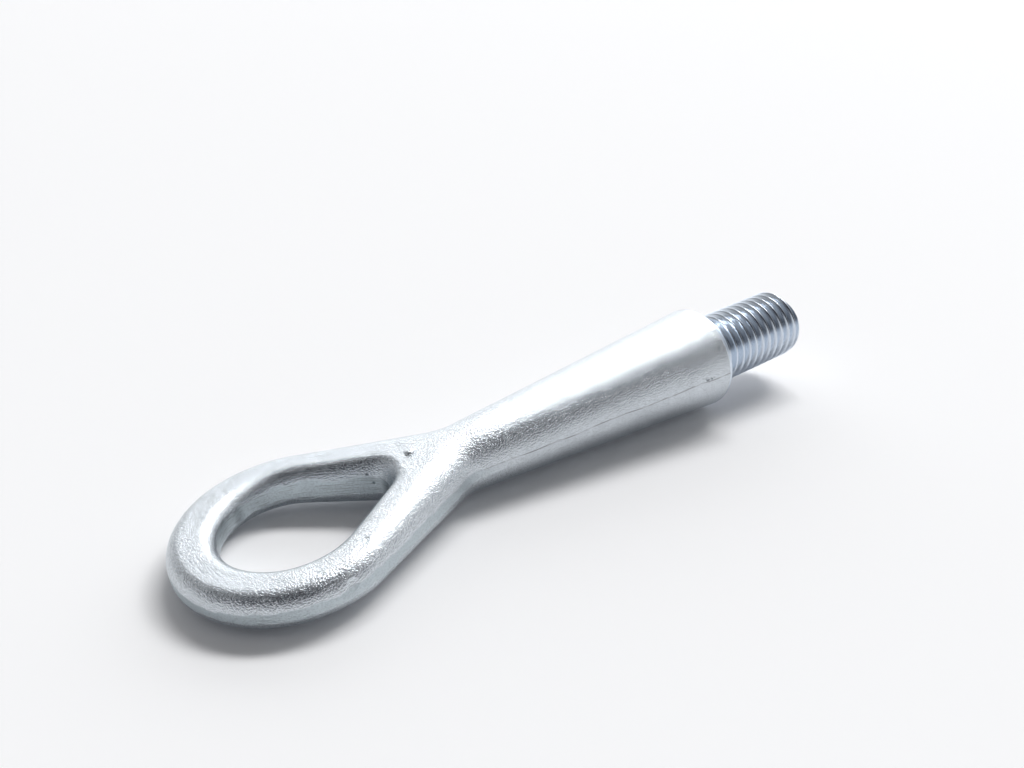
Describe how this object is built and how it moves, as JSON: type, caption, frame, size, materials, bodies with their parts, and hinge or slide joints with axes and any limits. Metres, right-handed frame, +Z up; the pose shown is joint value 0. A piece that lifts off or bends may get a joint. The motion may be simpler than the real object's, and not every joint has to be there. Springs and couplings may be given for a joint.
{
  "type": "tow eye",
  "caption": "Screw-in tow eye for a car: a forged teardrop eye on a round, tapered shank with a machined collar, a flat shoulder and a left-hand male thread.",
  "frame": {"origin": "middle of the part's bounding box in plan, on the floor it lies on", "axes": "+X along the shank towards the thread's end, +Z up from the floor, +Y across the eye to the left of +X; the shank rises by 3.85 degrees towards the thread"},
  "size_m": [0.1648, 0.046, 0.0256],
  "materials": {
    "plated_steel": "bright zinc plate over a shot-blasted forging, smooth on the machined thread"
  },
  "bodies": {
    "root": {"tow_eye": "plated_steel"}
  },
  "joints": []
}
